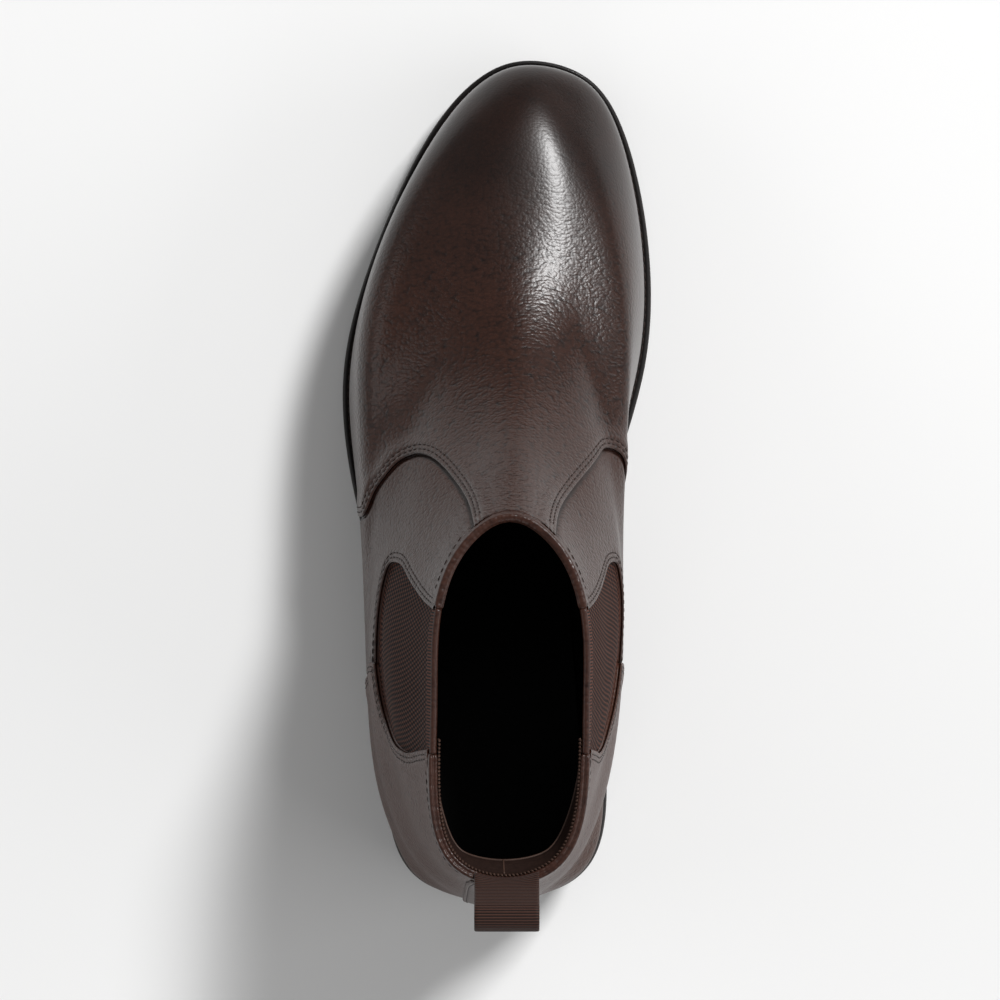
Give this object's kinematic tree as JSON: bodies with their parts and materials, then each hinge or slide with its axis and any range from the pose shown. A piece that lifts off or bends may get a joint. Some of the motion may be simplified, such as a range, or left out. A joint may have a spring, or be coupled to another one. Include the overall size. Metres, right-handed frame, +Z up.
{
  "type": "chelsea boot",
  "caption": "Left ankle boot with elastic side gores, smooth pebbled leather vamp, welted sole, stacked low heel and a webbing pull tab at the heel.",
  "frame": {"origin": "on the ground, under the middle of the boot's bounding box", "axes": "+Z up, +Y towards the toe, +X towards the inner (medial) side of this left boot"},
  "size_m": [0.1128, 0.306, 0.1721],
  "materials": {
    "upper_leather": "glossy pebbled leather, dark espresso brown",
    "binding_leather": "smooth glossy leather, dark brown",
    "welt_leather": "waxed near-black leather",
    "sole_leather": "dark leather, polished edge, satin underside",
    "heel_stack": "stacked leather, dark polished edge",
    "heel_rubber": "matt black rubber",
    "brass_nail": "brushed brass nail heads",
    "shank_steel": "plain spring steel",
    "cork": "granulated cork",
    "fibreboard": "tan leatherboard",
    "sock_leather": "soft black leather",
    "lining_textile": "black brushed textile lining",
    "gore_elastic": "woven elastic, dark red-brown on black",
    "tab_webbing": "brown grosgrain webbing",
    "thread": "dark waxed thread"
  },
  "bodies": {
    "boot": {"outsole": "sole_leather", "welt": "welt_leather", "heel_rand": "welt_leather", "heel_lift_1": "heel_stack", "heel_lift_2": "heel_stack", "heel_lift_3": "heel_stack", "heel_lift_4": "heel_stack", "heel_top_piece": "heel_rubber", "heel_nails": "brass_nail", "steel_shank": "shank_steel", "cork_filler": "cork", "insole_rib": "fibreboard", "insole_board": "fibreboard", "sock_liner": "sock_leather", "vamp": "upper_leather", "quarter_front_lateral": "upper_leather", "quarter_front_medial": "upper_leather", "quarter_back_lateral": "upper_leather", "quarter_back_medial": "upper_leather", "gore_lateral": "gore_elastic", "gore_medial": "gore_elastic", "backstay": "upper_leather", "collar_binding_front": "binding_leather", "collar_binding_back": "binding_leather", "toe_puff": "fibreboard", "heel_counter": "fibreboard", "lining_front": "lining_textile", "lining_back": "lining_textile", "heel_grip": "lining_textile", "pull_tab_base": "tab_webbing", "stitching_welt": "thread", "stitching_vamp": "thread", "stitching_gore": "thread", "stitching_side_seam": "thread", "stitching_backstay": "thread", "stitching_topline": "thread"},
    "tab_loop": {"pull_tab": "tab_webbing"}
  },
  "joints": [
    {"name": "pull_tab_fold", "type": "hinge", "parent": "boot", "child": "tab_loop", "pos_m": [0.00344, -0.1367, 0.1576], "axis": [-1, 0, 0], "range_deg": [-20, 60], "stiffness_Nm_per_rad": 0.01}
  ]
}
